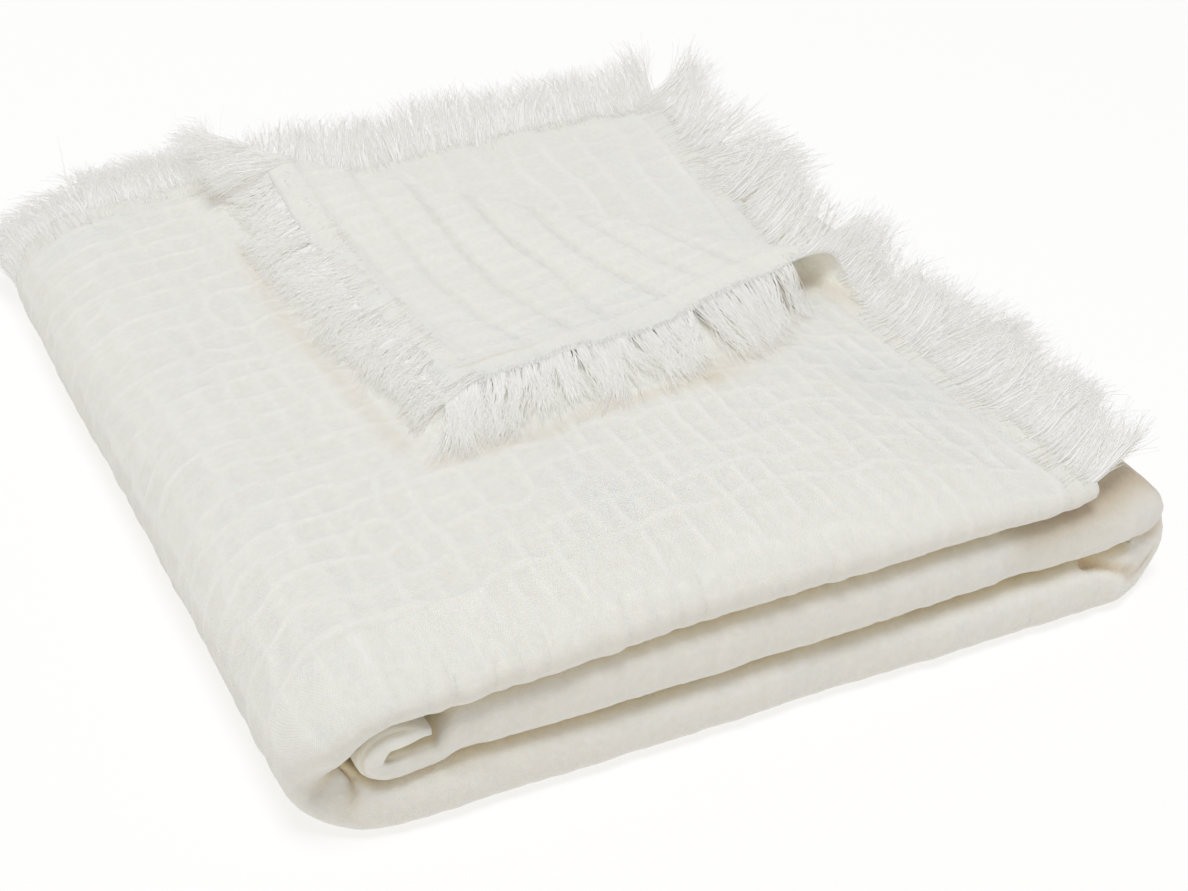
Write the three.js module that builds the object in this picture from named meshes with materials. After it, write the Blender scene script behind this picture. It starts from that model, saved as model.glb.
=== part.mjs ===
// A muslin blanket with a fringe, folded and laid on a flat surface.
// One sheet is doubled with its fold to the front, then wrapped in three: the right-hand end on top,
// round the left bend to the bottom layer, round the right bend to the middle layer,
// whose own end is turned back over it. The upper back right corner is turned over.
// Millimetres, x along the front fold, y to the back, z up from the surface it rests on.
import * as THREE from 'three';

// The sheet and its fringe.
const plyThickness = 3.4;
const fringeLength = 44;
const stripWidth = 2.4;
const stripThickness = 2.6;

// The folded stack: width from bend to bend, depth from the front fold to the cloth's back edge.
const foldedWidth = 342;
const foldedDepth = 326;
const topEnd = 293;
const backSkew = 34;

// Half the distance between the two plies of each layer, and the gaps between layers.
const topLoft = 7.6;
const topEndLoft = 3.2;
const middleLoft = 8.8;
const bottomLoft = 8.55;
const lowerGap = 2;
const upperGap = 1.6;

// How the stack is pressed flatter to the back and left, swells to the right and stands forward below.
const backPress = 0.18;
const leftPress = 0.12;
const rightSwell = 0.05;
const footForward = 10;

// The front nose, where the two plies of each layer meet.
const noseFlat = 36;
const noseShort = 12;
const noseLong = 27;
const noseTightest = 1.95;

// The turned-over corner: where its fold starts on the back and right edges, and how it rolls.
const cornerBackX = 86;
const cornerRightY = 131;
const foldBow = 5;
const rollLeft = 8;
const rollMiddle = 5;
const rollRight = 11.5;
const flapRest = 4.9;
const flapFall = 62;

// The end of the middle layer, turned back over it.
const tailLoft = 2.75;
const tailRadius = 6.05;
const tailLength = 12.5;
const tailBlend = 95;

// How far the top layer's right-hand end strays: its front corner, and the lower ply's back corner.
const frontStray = 5;
const cornerStray = 23;

// Heights of the plies' middles from the surface up, before pressing.
const half = plyThickness / 2;
const bottomLow = half;
const bottomHigh = bottomLow + 2 * bottomLoft;
const middleLow = bottomHigh + plyThickness + lowerGap;
const middleHigh = middleLow + 2 * middleLoft;
const topLow = middleHigh + plyThickness + upperGap;
const topHigh = topLow + 2 * topLoft;
const zBottom = (bottomLow + bottomHigh) / 2;
const zMiddle = (middleLow + middleHigh) / 2;
const zTop = (topLow + topHigh) / 2;
const zTail = middleLow + tailLoft;
const leftRadius = (zTop - zBottom) / 2;
const rightRadius = (zMiddle - zBottom) / 2;
const leftX = leftRadius + (topLoft + bottomLoft) / 2 + half;
const rightX = foldedWidth - rightRadius - (bottomLoft + middleLoft) / 2 - half;
const tailX = leftX + 1;

// The runs and bends of the folded strip in order, from its upper right end inwards.
const path = [
  { name: 'top', length: topEnd - leftX, cells: 11 },
  { name: 'leftBend', length: Math.PI * leftRadius, cells: 10 },
  { name: 'bottom', length: rightX - leftX, cells: 7 },
  { name: 'rightBend', length: Math.PI * rightRadius, cells: 8 },
  { name: 'middle', length: rightX - tailX, cells: 9 },
  { name: 'tailTurn', length: Math.PI * tailRadius, cells: 6 },
  { name: 'tail', length: tailLength, cells: 1 },
];
const run = {};
let stripLength = 0;
for (const row of path) {
  row.from = stripLength;
  row.to = stripLength + row.length;
  stripLength = row.to;
  run[row.name] = row;
}

// Places where the front nose is drawn in as it goes round a bend.
const tucks = [
  { at: run.leftBend.from + 0.62 * run.leftBend.length, depth: 9, width: 15 },
  { at: run.rightBend.from + 0.45 * run.rightBend.length, depth: 8, width: 14 },
];

const plyLength = foldedDepth - half - noseShort;
const noseMiddle = plyLength + noseFlat / 2;
const sheetWidth = 2 * plyLength + noseFlat;

function clamp(value, low, high) {
  return Math.min(high, Math.max(low, value));
}

function mix(a, b, u) {
  return a + (b - a) * u;
}

function smooth(from, to, value) {
  const u = clamp((value - from) / (to - from), 0, 1);
  return u * u * (3 - 2 * u);
}

// The top layer's plies lie closer together towards its right-hand end.
function topLoftAt(x) {
  return mix(topEndLoft, topLoft, smooth(-10, 90, topEnd - x));
}

// The strip's centre line at s: its place, the side its outer ply lies on, and the plies' half distance.
function centreLine(s) {
  if (s < run.top.to) {
    const loft = topLoftAt(topEnd - s);
    return { x: topEnd - s, z: topLow + loft, nx: 0, nz: 1, loft, nose: noseLong };
  }
  if (s < run.leftBend.to) {
    const u = (s - run.leftBend.from) / run.leftBend.length;
    const nx = Math.cos(Math.PI * (0.5 + u));
    const nz = Math.sin(Math.PI * (0.5 + u));
    const z = (zTop + zBottom) / 2 + leftRadius * nz;
    const nose = mix(noseLong, noseShort, smooth(0.05, 0.75, u));
    return { x: leftX + leftRadius * nx, z, nx, nz, loft: mix(topLoft, bottomLoft, u), nose };
  }
  if (s < run.bottom.to) {
    const x = leftX + s - run.bottom.from;
    return { x, z: zBottom, nx: 0, nz: -1, loft: bottomLoft, nose: noseShort };
  }
  if (s < run.rightBend.to) {
    const u = (s - run.rightBend.from) / run.rightBend.length;
    const nx = Math.cos(Math.PI * (u - 0.5));
    const nz = Math.sin(Math.PI * (u - 0.5));
    const z = (zMiddle + zBottom) / 2 + rightRadius * nz;
    const loft = mix(bottomLoft, middleLoft, u);
    return { x: rightX + rightRadius * nx, z, nx, nz, loft, nose: noseShort };
  }
  if (s < run.middle.to) {
    const u = smooth(run.middle.to - tailBlend, run.middle.to - 14, s);
    const x = rightX - (s - run.middle.from);
    const loft = mix(middleLoft, tailLoft, u);
    return { x, z: mix(zMiddle, zTail, u), nx: 0, nz: 1, loft, nose: noseShort };
  }
  if (s < run.tailTurn.to) {
    const angle = Math.PI * ((s - run.tailTurn.from) / run.tailTurn.length);
    const nx = Math.sin(angle);
    const nz = Math.cos(angle);
    const z = zTail + tailRadius * (1 - nz);
    return { x: tailX - tailRadius * nx, z, nx, nz, loft: tailLoft, nose: noseShort };
  }
  const x = tailX + s - run.tail.from;
  return { x, z: zTail + 2 * tailRadius, nx: 0, nz: -1, loft: tailLoft, nose: noseShort };
}

// The corner's fold line in the top layer: its direction, and its square towards the corner.
const foldSpan = Math.hypot(topEnd - cornerBackX, foldedDepth - cornerRightY);
const foldDir = { x: (topEnd - cornerBackX) / foldSpan, y: (cornerRightY - foldedDepth) / foldSpan };
const foldOut = { x: -foldDir.y, y: foldDir.x };

// Turns a point of the top ply over the corner's fold line: its new place and its height over the ply.
function turnCorner(x, y) {
  const share = ((x - cornerBackX) * foldDir.x + (y - foldedDepth) * foldDir.y) / foldSpan;
  const fromMiddle = 2 * clamp(share, 0, 1) - 1;
  const bow = foldBow * (1 - fromMiddle ** 2);
  const reach = (x - cornerBackX) * foldOut.x + (y - foldedDepth) * foldOut.y + bow;
  if (reach <= 0) return { x, y, lift: 0 };
  const radius = mix(rollMiddle, fromMiddle < 0 ? rollLeft : rollRight, fromMiddle ** 2);
  let out = Math.PI * radius - reach;
  let lift = mix(2 * radius, flapRest, smooth(0, flapFall, -out));
  if (reach < Math.PI * radius) {
    out = radius * Math.sin(reach / radius);
    lift = radius * (1 - Math.cos(reach / radius));
  }
  return { x: x + (out - reach) * foldOut.x, y: y + (out - reach) * foldOut.y, lift };
}

// Presses each layer's plies together by the share k and leaves the gaps between layers as they are.
function pressed(z, k) {
  const layers = [
    { low: bottomLow, high: bottomHigh },
    { low: middleLow, high: middleHigh },
    { low: topLow, high: topHigh },
  ];
  const loss = layers.map((layer) => (1 - k) * (clamp(z, layer.low, layer.high) - layer.low));
  return z - loss.reduce((sum, part) => sum + part, 0);
}

// The middle of the sheet's thickness at the flat place s, t once it is folded.
function folded(s, t) {
  const line = centreLine(s);
  const angle = Math.PI * clamp((t - plyLength) / noseFlat, 0, 1);
  const nose = Math.min(t < noseMiddle ? line.nose : noseShort, line.loft ** 2 / noseTightest);
  const toEdge = Math.max(plyLength - t, t - plyLength - noseFlat, 0) / plyLength;
  let y = half + nose * (1 - Math.sin(angle));
  y = mix(y, foldedDepth, toEdge);
  for (const tuck of tucks) {
    y += tuck.depth * Math.exp(-(((s - tuck.at) / tuck.width) ** 2)) * Math.sin(angle);
  }
  let x = line.x + line.loft * Math.cos(angle) * line.nx;
  let z = line.z + line.loft * Math.cos(angle) * line.nz;

  if (s < run.top.to) {
    const toEnd = smooth(0.35, 1, 1 - s / run.top.length);
    const stray = frontStray * toEnd * Math.exp(-((y / 60) ** 2));
    if (t > noseMiddle) {
      x += cornerStray * toEnd * smooth(170, foldedDepth, y);
    } else {
      const turned = turnCorner(x, y);
      x = turned.x;
      y = turned.y;
      z += turned.lift + (topLoftAt(x) - line.loft) * (1 + Math.cos(angle));
    }
    x += stray;
  }

  const share = x / foldedWidth;
  const low = clamp(1 - z / topLow, 0, 1) * clamp(1 - y / 160, 0, 1);
  y += backSkew * (share - 0.5) * smooth(120, foldedDepth, y) - footForward * share * low;
  const k = (1 - backPress * smooth(30, foldedDepth, y)) *
    (1 - leftPress * (1 - smooth(0, 130, x)) + rightSwell * share);
  return new THREE.Vector3(x, y, pressed(z, k));
}

// The folded place with the sheet's two directions there and its outer side.
function foldedFrame(s, t) {
  const step = 0.02;
  const point = folded(s, t);
  const alongS = folded(s + step, t).sub(folded(s - step, t)).normalize();
  const alongT = folded(s, t + step).sub(folded(s, t - step)).normalize();
  const normal = new THREE.Vector3().crossVectors(alongS, alongT).normalize();
  return { point, alongS, alongT, normal };
}

// Cuts convex polygons of the flat sheet along the line where a*s + b*t = c.
function cutAlong(polygons, a, b, c) {
  const result = [];
  for (const polygon of polygons) {
    const off = polygon.map(([s, t]) => a * s + b * t - c);
    if (off.every((d) => d > -1e-6) || off.every((d) => d < 1e-6)) {
      result.push(polygon);
      continue;
    }
    for (const keep of [1, -1]) {
      const piece = [];
      polygon.forEach(([s, t], i) => {
        const next = (i + 1) % polygon.length;
        const d = keep * off[i];
        const dNext = keep * off[next];
        if (d > -1e-6) piece.push([s, t]);
        if ((d > 1e-6 && dNext < -1e-6) || (d < -1e-6 && dNext > 1e-6)) {
          const u = d / (d - dNext);
          piece.push([mix(s, polygon[next][0], u), mix(t, polygon[next][1], u)]);
        }
      });
      result.push(piece);
    }
  }
  return result;
}

// The flat sheet in small polygons: along its runs, across its plies and nose, and along the corner's fold.
function sheetPolygons() {
  const plyCells = 11;
  const noseCells = 8;
  const rollCells = 12;
  let polygons = [[[0, 0], [stripLength, 0], [stripLength, sheetWidth], [0, sheetWidth]]];
  for (const row of path) {
    for (let i = 1; i <= row.cells; i++) {
      polygons = cutAlong(polygons, 1, 0, row.from + (row.length * i) / row.cells);
    }
  }
  for (let i = 1; i <= plyCells; i++) {
    polygons = cutAlong(polygons, 0, 1, (plyLength * i) / plyCells);
    polygons = cutAlong(polygons, 0, 1, sheetWidth - (plyLength * i) / plyCells);
  }
  for (let i = 1; i < noseCells; i++) {
    polygons = cutAlong(polygons, 0, 1, plyLength + (noseFlat * i) / noseCells);
  }
  const cornerReach = (topEnd - cornerBackX) * foldOut.x;
  for (let i = 0; i <= rollCells; i++) {
    const reach = mix(-foldBow, Math.PI * rollRight, i / rollCells);
    polygons = cutAlong(polygons, foldOut.x, foldOut.y, cornerReach - reach);
  }
  return polygons;
}

function makeMesh(name, points, faces, colour) {
  const geometry = new THREE.BufferGeometry();
  const flat = faces.flatMap((face) => face.flatMap((i) => points[i].toArray()));
  geometry.setAttribute('position', new THREE.Float32BufferAttribute(flat, 3));
  geometry.computeVertexNormals();
  const mesh = new THREE.Mesh(geometry, new THREE.MeshStandardMaterial({ color: colour, roughness: 0.95 }));
  mesh.name = name;
  return mesh;
}

// The cloth: both faces of the sheet and its rim, one closed body.
function makeCloth() {
  const points = [];
  const faces = [];
  const found = new Map();
  const rim = new Map();
  const index = ([s, t]) => {
    const key = `${s.toFixed(4)} ${t.toFixed(4)}`;
    if (!found.has(key)) {
      const frame = foldedFrame(s, t);
      found.set(key, points.length);
      points.push(frame.point.clone().addScaledVector(frame.normal, half));
      points.push(frame.point.clone().addScaledVector(frame.normal, -half));
    }
    return found.get(key);
  };
  for (const polygon of sheetPolygons()) {
    const ring = polygon.map(index);
    for (let i = 1; i + 1 < ring.length; i++) {
      faces.push([ring[0], ring[i], ring[i + 1]]);
      faces.push([ring[0] + 1, ring[i + 1] + 1, ring[i] + 1]);
    }
    ring.forEach((a, i) => {
      const b = ring[(i + 1) % ring.length];
      if (!rim.delete(`${b} ${a}`)) rim.set(`${a} ${b}`, [a, b]);
    });
  }
  for (const [a, b] of rim.values()) {
    faces.push([a, a + 1, b + 1]);
    faces.push([a, b + 1, b]);
  }
  return makeMesh('cloth', points, faces, '#eee9dc');
}

// The sheet's edges: the flat place at a distance u along each, and the way out of the sheet there.
const edges = {
  end: { place: (u) => [0, u], out: (frame) => frame.alongS.clone().negate() },
  outer: { place: (u) => [u, 0], out: (frame) => frame.alongT.clone().negate() },
  inner: { place: (u) => [u, sheetWidth], out: (frame) => frame.alongT.clone() },
};

const backFold = topEnd - cornerBackX;
const rightFold = foldedDepth - cornerRightY;
const backRoll = backFold - (Math.PI * rollLeft) / foldOut.x;
const rightRoll = rightFold - (Math.PI * rollRight) / foldOut.y;
const lowerEnd = plyLength + noseFlat;

// The stretches of fringe: which edge and where, how many locks, the share of the full length,
// how far their ends sink, the gap to the cloth, and the steepest they leave it.
const fringes = [
  ['flap_front', 'end', 3, rightRoll, 15, 1, 0, 0.4, 0.05],
  ['roll_right', 'end', rightRoll + 1, rightFold + 1, 9, 0.75, 0.05, 0.8, 0.15],
  ['end_upper', 'end', rightFold + 2, plyLength - 1, 12, 1, 0.1, 0.9, 0.3],
  ['end_lower', 'end', lowerEnd, sheetWidth - 3, 30, 1, 0.05, 0.9, 0.3],
  ['flap_side', 'outer', 3, backRoll, 16, 1, 0, 0.4, 0.05],
  ['roll_back', 'outer', backRoll + 1, backFold + 1, 7, 0.75, 0.2, 0.8, 0.15],
  ['top_outer', 'outer', backFold + 2, run.top.to, 5, 1, 0.4, 0.4, 0.3],
  ['left_outer', 'outer', run.leftBend.from + 1, run.leftBend.to, 8, 1, 0.4, 0.4, 0.3],
  ['bottom_outer', 'outer', run.bottom.from + 1, run.bottom.to, 24, 1, 0.4, 0.4, 0.3],
  ['right_outer', 'outer', run.rightBend.from + 1, run.rightBend.to, 6, 1, 0.4, 0.4, 0.3],
  ['middle_outer', 'outer', run.middle.from + 1, run.middle.to, 22, 1, 0.42, 0.4, 0.3],
  ['top_inner', 'inner', 3, run.top.to, 28, 1, 0.34, 0.8, 0.3],
  ['left_inner', 'inner', run.leftBend.from + 1, run.leftBend.to, 6, 1, 0.4, 0.4, 0.3],
  ['bottom_inner', 'inner', run.bottom.from + 1, run.bottom.to, 22, 1, 0.4, 0.4, 0.3],
  ['middle_inner', 'inner', run.middle.from + 1, run.middle.to, 22, 1, 0.4, 0.4, 0.3],
].map(([name, edge, from, to, locks, length, sink, gap, steepest]) => (
  { name, edge, from, to, locks, length, sink, gap, steepest }
));

// The rings of a lock: how far out of the strip, and its half width and half thickness in shares.
const lockRings = [
  { out: 0.45, wide: 0.33, thick: 0.38 },
  { out: 0.8, wide: 0.23, thick: 0.29 },
];

// A repeatable scatter between -1 and 1.
function scatter(seed) {
  const wave = Math.sin(seed * 12.9898 + 4.137) * 43758.5453;
  return 2 * (wave - Math.floor(wave)) - 1;
}

// One stretch of fringe: a strip along the edge with four-sided locks drawn out of it.
function makeFringe(row, number) {
  const edge = edges[row.edge];
  const pitch = (row.to - row.from) / row.locks;
  const points = [];
  const faces = [];

  const station = (u) => {
    const frame = foldedFrame(...edge.place(u));
    const out = edge.out(frame);
    out.setZ(clamp(out.z, row.sink === 0 ? 0 : -row.steepest, row.steepest)).normalize();
    const side = new THREE.Vector3().crossVectors(out, frame.normal).normalize();
    return { point: frame.point, out, side, normal: frame.normal };
  };
  const offset = (at, out, up, side) => {
    const place = at.point.clone().addScaledVector(at.out, row.gap + out);
    return place.addScaledVector(at.normal, up).addScaledVector(at.side, side);
  };

  const places = [];
  for (let i = 0; i < row.locks; i++) {
    places.push(row.from + pitch * (i + 0.13), row.from + pitch * (i + 0.87));
  }
  const thick = stripThickness / 2;
  const rings = places.map((u) => {
    const at = station(u);
    points.push(offset(at, 0, -thick, 0), offset(at, 0, thick, 0));
    points.push(offset(at, stripWidth, thick, 0), offset(at, stripWidth, -thick, 0));
    return points.length - 4;
  });
  const ahead = points[rings[1]].clone().sub(points[rings[0]]);
  const turn = Math.sign(ahead.dot(station(places[0]).side));
  const face = (...corners) => {
    const ring = turn > 0 ? corners : corners.reverse();
    for (let i = 1; i + 1 < ring.length; i++) faces.push([ring[0], ring[i], ring[i + 1]]);
  };

  const first = rings[0];
  const last = rings[rings.length - 1];
  face(first, first + 1, first + 2, first + 3);
  face(last + 3, last + 2, last + 1, last);
  for (let i = 0; i + 1 < rings.length; i++) {
    const a = rings[i];
    const b = rings[i + 1];
    face(a, b, b + 1, a + 1);
    face(a + 1, b + 1, b + 2, a + 2);
    face(a + 3, b + 3, b, a);
    if (i % 2 === 1) {
      face(a + 2, b + 2, b + 3, a + 3);
      continue;
    }
    const at = station((places[i] + places[i + 1]) / 2);
    const seed = number * 100 + i / 2;
    const reach = fringeLength * row.length * (1 + 0.1 * scatter(seed)) - stripWidth;
    const sway = 2.4 * scatter(seed + 50.5);
    const spot = (out, up, wide) => {
      const place = offset(at, stripWidth + reach * out, up, turn * wide + sway * out * out);
      place.z = half + (place.z - half) * (1 - row.sink * out * out);
      return place;
    };
    let base = [a + 3, a + 2, b + 2, b + 3];
    for (const ring of lockRings) {
      const wide = ring.wide * pitch;
      const up = ring.thick * stripThickness;
      const next = points.length;
      points.push(spot(ring.out, -up, -wide), spot(ring.out, up, -wide));
      points.push(spot(ring.out, up, wide), spot(ring.out, -up, wide));
      const from = base;
      from.forEach((corner, k) => face(corner, from[(k + 1) % 4], next + ((k + 1) % 4), next + k));
      base = [next, next + 1, next + 2, next + 3];
    }
    points.push(spot(1, 0, 0));
    const tip = points.length - 1;
    const from = base;
    from.forEach((corner, k) => face(corner, from[(k + 1) % 4], tip));
  }
  return makeMesh(`fringe_${row.name}`, points, faces, '#f3efe4');
}

const blanket = new THREE.Group();
blanket.name = 'muslin_blanket';
blanket.add(makeCloth());
fringes.forEach((row, i) => blanket.add(makeFringe(row, i + 1)));

// The frame's origin is under the middle of the folded blanket, on the surface it rests on.
const box = new THREE.Box3().setFromObject(blanket);
const middle = box.getCenter(new THREE.Vector3());
blanket.position.set(-middle.x, -middle.y, -box.min.z);

export default blanket;
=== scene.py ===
from math import hypot, pi, radians
import bpy
import numpy as np
from mathutils import Matrix, Vector


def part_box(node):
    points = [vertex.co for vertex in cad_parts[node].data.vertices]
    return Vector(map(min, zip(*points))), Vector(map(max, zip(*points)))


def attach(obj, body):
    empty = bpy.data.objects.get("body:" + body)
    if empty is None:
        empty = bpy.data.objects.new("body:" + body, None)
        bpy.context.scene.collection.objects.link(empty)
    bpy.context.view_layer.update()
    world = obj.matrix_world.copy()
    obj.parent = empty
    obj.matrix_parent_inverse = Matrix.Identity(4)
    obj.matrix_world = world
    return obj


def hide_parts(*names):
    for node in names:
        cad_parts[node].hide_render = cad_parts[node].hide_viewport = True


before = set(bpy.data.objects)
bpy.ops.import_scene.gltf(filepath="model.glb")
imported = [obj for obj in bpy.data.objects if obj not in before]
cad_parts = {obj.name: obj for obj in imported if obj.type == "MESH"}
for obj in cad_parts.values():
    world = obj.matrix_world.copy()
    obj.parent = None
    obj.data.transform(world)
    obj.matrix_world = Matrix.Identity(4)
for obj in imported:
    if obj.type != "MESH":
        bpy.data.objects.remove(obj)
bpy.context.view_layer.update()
print("frame loaded,", len(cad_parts), "nodes")

mm = 0.001  # lengths are in millimetres, meshes in metres


# small helpers for arrays
def ease(low, high, value):
    u = np.clip((value - low) / (high - low), 0, 1)
    return u * u * (3 - 2 * u)


def mix(a, b, share):
    return a + (b - a) * share


def bell(distance, width):
    return np.exp(-(distance / width) ** 2)


def within(value, low, high):
    return (value > low) & (value < high)


def beyond(place, gaps):
    return [place + gap for gap in gaps]


def unit(vectors):
    return vectors / np.maximum(np.linalg.norm(vectors, axis=-1, keepdims=True), 1e-12)


def wander(value, seed):
    # smooth repeatable ups and downs, about -1 to 1
    phases = np.random.default_rng(seed).uniform(0, 2 * pi, 4)
    rates = (0.61, 1.0, 1.73, 2.91)
    shares = (0.34, 0.34, 0.2, 0.12)
    swing = 1.35
    waves = [share * np.sin(rate * value + phase) for share, rate, phase in zip(shares, rates, phases)]
    return sum(waves) * swing


# how the sheet is folded: the sizes of its solid, with fuller front folds and the tail tucked closer
fold = dict(
    plyThickness=3.4, width=342, depth=326,
    topLoft=7.6, middleLoft=8.8, bottomLoft=8.55,  # half the way between a layer's two plies
    topEnd=293, topEndLoft=3.2, topThins=(-10, 90),  # the top layer thins towards its right end
    lowerGap=2, upperGap=1.6,  # between layers
    backPress=0.18, backFrom=30, leftPress=0.12, leftWidth=130, rightSwell=0.05,
    backSkew=34, skewFrom=120, footForward=10, footDepth=160,
    # a layer's front fold: flat length round it, how far it reaches forward, how full it is
    noseFlat=36, noseShort=12, noseLong=27, noseShortens=(0.05, 0.75), noseTightest=1.95,
    boxy=0.64, boxyFrom=20,
    drawnIn=dict(leftBend=(0.62, 9, 15), rightBend=(0.45, 8, 14)),  # place, depth, half width
    # the turned-over corner
    cornerBackX=86, cornerRightY=131, foldBow=5,
    rollLeft=8, rollMiddle=5, rollRight=11.5, flapRest=4.9, flapFall=62,
    # the tail: the strip's inner end, tucked under the top layer
    tailInset=1, tailLoft=2.75, tailRadius=6.05, tailLength=12.5, tailBlend=(-23, -14),
    tailThin=1.2, tailDroop=1.5, tailReach=75, tailBack=3, tailFade=110, tailAside=-1,
    # how far the top layer's right end strays from straight
    strayFrom=0.35, frontStray=5, strayWidth=60, cornerStray=23, cornerFrom=170,
)

half = fold["plyThickness"] / 2
layers, low = {}, half  # heights of the lower and upper ply of each layer
for name, gap in (("bottom", fold["lowerGap"]), ("middle", fold["upperGap"]), ("top", 0)):
    layers[name] = (low, low + 2 * fold[name + "Loft"])
    low = layers[name][1] + fold["plyThickness"] + gap
bottomZ, middleZ, topZ = [(low + high) / 2 for low, high in layers.values()]
middleLow, topLow = layers["middle"][0], layers["top"][0]
tailZ = middleLow + fold["tailLoft"]
leftZ = (topZ + bottomZ) / 2
rightZ = (middleZ + bottomZ) / 2
leftRadius = (topZ - bottomZ) / 2
rightRadius = (middleZ - bottomZ) / 2
leftX = leftRadius + (fold["topLoft"] + fold["bottomLoft"]) / 2 + half
rightX = fold["width"] - rightRadius - (fold["bottomLoft"] + fold["middleLoft"]) / 2 - half
tailX = leftX + fold["tailInset"]

# the runs of the strip in order: name, length, coarse cells, fine step where it shows
runTable = [
    ("top", fold["topEnd"] - leftX, 14, 1.25),
    ("leftBend", pi * leftRadius, 10, 1.7),
    ("bottom", rightX - leftX, 7, 2.0),
    ("rightBend", pi * rightRadius, 8, 2.2),
    ("middle", rightX - tailX, 9, 2.0),
    ("tailTurn", pi * fold["tailRadius"], 6, 1.6),
    ("tail", fold["tailLength"], 1, 1.6),
]
runLengths = np.array([row[1] for row in runTable])
runEnds = np.cumsum(runLengths)
runStarts = runEnds - runLengths
runs = {row[0]: (runStarts[i], runEnds[i]) for i, row in enumerate(runTable)}
stripLength = runEnds[-1]
plyLength = fold["depth"] - half - fold["noseShort"]
noseMiddle = plyLength + fold["noseFlat"] / 2
lowerPly = plyLength + fold["noseFlat"]
sheetWidth = lowerPly + plyLength


def topLoftAt(x):
    thick = ease(*fold["topThins"], fold["topEnd"] - x)
    return mix(fold["topEndLoft"], fold["topLoft"], thick)


def roundTurn(x, z, radius, angle):
    return x + radius * np.cos(angle), z + radius * np.sin(angle), np.cos(angle), np.sin(angle)


def centreLine(s):
    # the strip's middle, the way to its outer ply, its loft and its front fold's reach
    which = np.clip(np.searchsorted(runEnds, s, side="right"), 0, len(runTable) - 1)
    u = (s - runStarts[which]) / runLengths[which]
    none, one = np.zeros_like(s), np.ones_like(s)
    topX = fold["topEnd"] - s
    topLoft = topLoftAt(topX)
    lofts = {name: fold[name + "Loft"] * one for name in ("top", "middle", "bottom", "tail")}
    long, short = fold["noseLong"] * one, fold["noseShort"] * one
    shortens = mix(long, short, ease(*fold["noseShortens"], u))
    falls = ease(*beyond(runs["middle"][1], fold["tailBlend"]), s)
    tailRadius = fold["tailRadius"]
    rows = [  # x, z, nx, nz, loft, nose of each run
        (topX, topLow + topLoft, none, one, topLoft, long),
        (*roundTurn(leftX, leftZ, leftRadius, pi * (0.5 + u)),
         mix(lofts["top"], lofts["bottom"], u), shortens),
        (leftX + s - runs["bottom"][0], bottomZ * one, none, -one, lofts["bottom"], short),
        (*roundTurn(rightX, rightZ, rightRadius, pi * (u - 0.5)),
         mix(lofts["bottom"], lofts["middle"], u), short),
        (rightX - (s - runs["middle"][0]), mix(middleZ, tailZ, falls), none, one,
         mix(lofts["middle"], lofts["tail"], falls), short),
        (*roundTurn(tailX, tailZ + tailRadius, -tailRadius, pi * (0.5 - u)), lofts["tail"], short),
        (tailX + s - runs["tail"][0], tailZ + 2 * tailRadius - fold["tailDroop"] * u ** 2, none, -one,
         mix(lofts["tail"], fold["tailThin"], ease(0, 1, u)), short),
    ]
    return [np.choose(which, [row[k] for row in rows]) for k in range(6)]


# the line over which the back right corner is turned, from the back edge to the right end
backFold = fold["topEnd"] - fold["cornerBackX"]
rightFold = fold["depth"] - fold["cornerRightY"]
foldSpan = hypot(backFold, rightFold)
foldDir = (backFold / foldSpan, -rightFold / foldSpan)
foldOut = (-foldDir[1], foldDir[0])


def cornerReach(x, y):
    # how far past that line a place of the top ply lies, and where along it, -1 to 1
    dx = x - fold["cornerBackX"]
    dy = y - fold["depth"]
    ends = 2 * np.clip((dx * foldDir[0] + dy * foldDir[1]) / foldSpan, 0, 1) - 1
    return dx * foldOut[0] + dy * foldOut[1] + fold["foldBow"] * (1 - ends ** 2), ends


def flatReach(s, t):
    return cornerReach(fold["topEnd"] - s, fold["depth"] - t)[0]


def turnCorner(x, y):
    reach, ends = cornerReach(x, y)
    endRadius = np.where(ends < 0, fold["rollLeft"], fold["rollRight"])
    radius = mix(fold["rollMiddle"], endRadius, ends ** 2)
    rolling = reach < pi * radius
    flat = pi * radius - reach
    out = np.where(rolling, radius * np.sin(reach / radius), flat)
    rest = mix(2 * radius, fold["flapRest"], ease(0, fold["flapFall"], -flat))
    lift = np.where(rolling, radius * (1 - np.cos(reach / radius)), rest)
    shift = np.where(reach <= 0, 0, out - reach)
    return x + shift * foldOut[0], y + shift * foldOut[1], np.where(reach <= 0, 0, lift)


def pressed(x, y, z):
    # the height once the stack is pressed at its back and left
    back = 1 - fold["backPress"] * ease(fold["backFrom"], fold["depth"], y)
    left = fold["leftPress"] * (1 - ease(0, fold["leftWidth"], x))
    share = back * (1 - left + fold["rightSwell"] * x / fold["width"])
    loss = 0
    for low, high in layers.values():
        loss = loss + (1 - share) * (np.clip(z, low, high) - low)
    return z - loss


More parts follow.
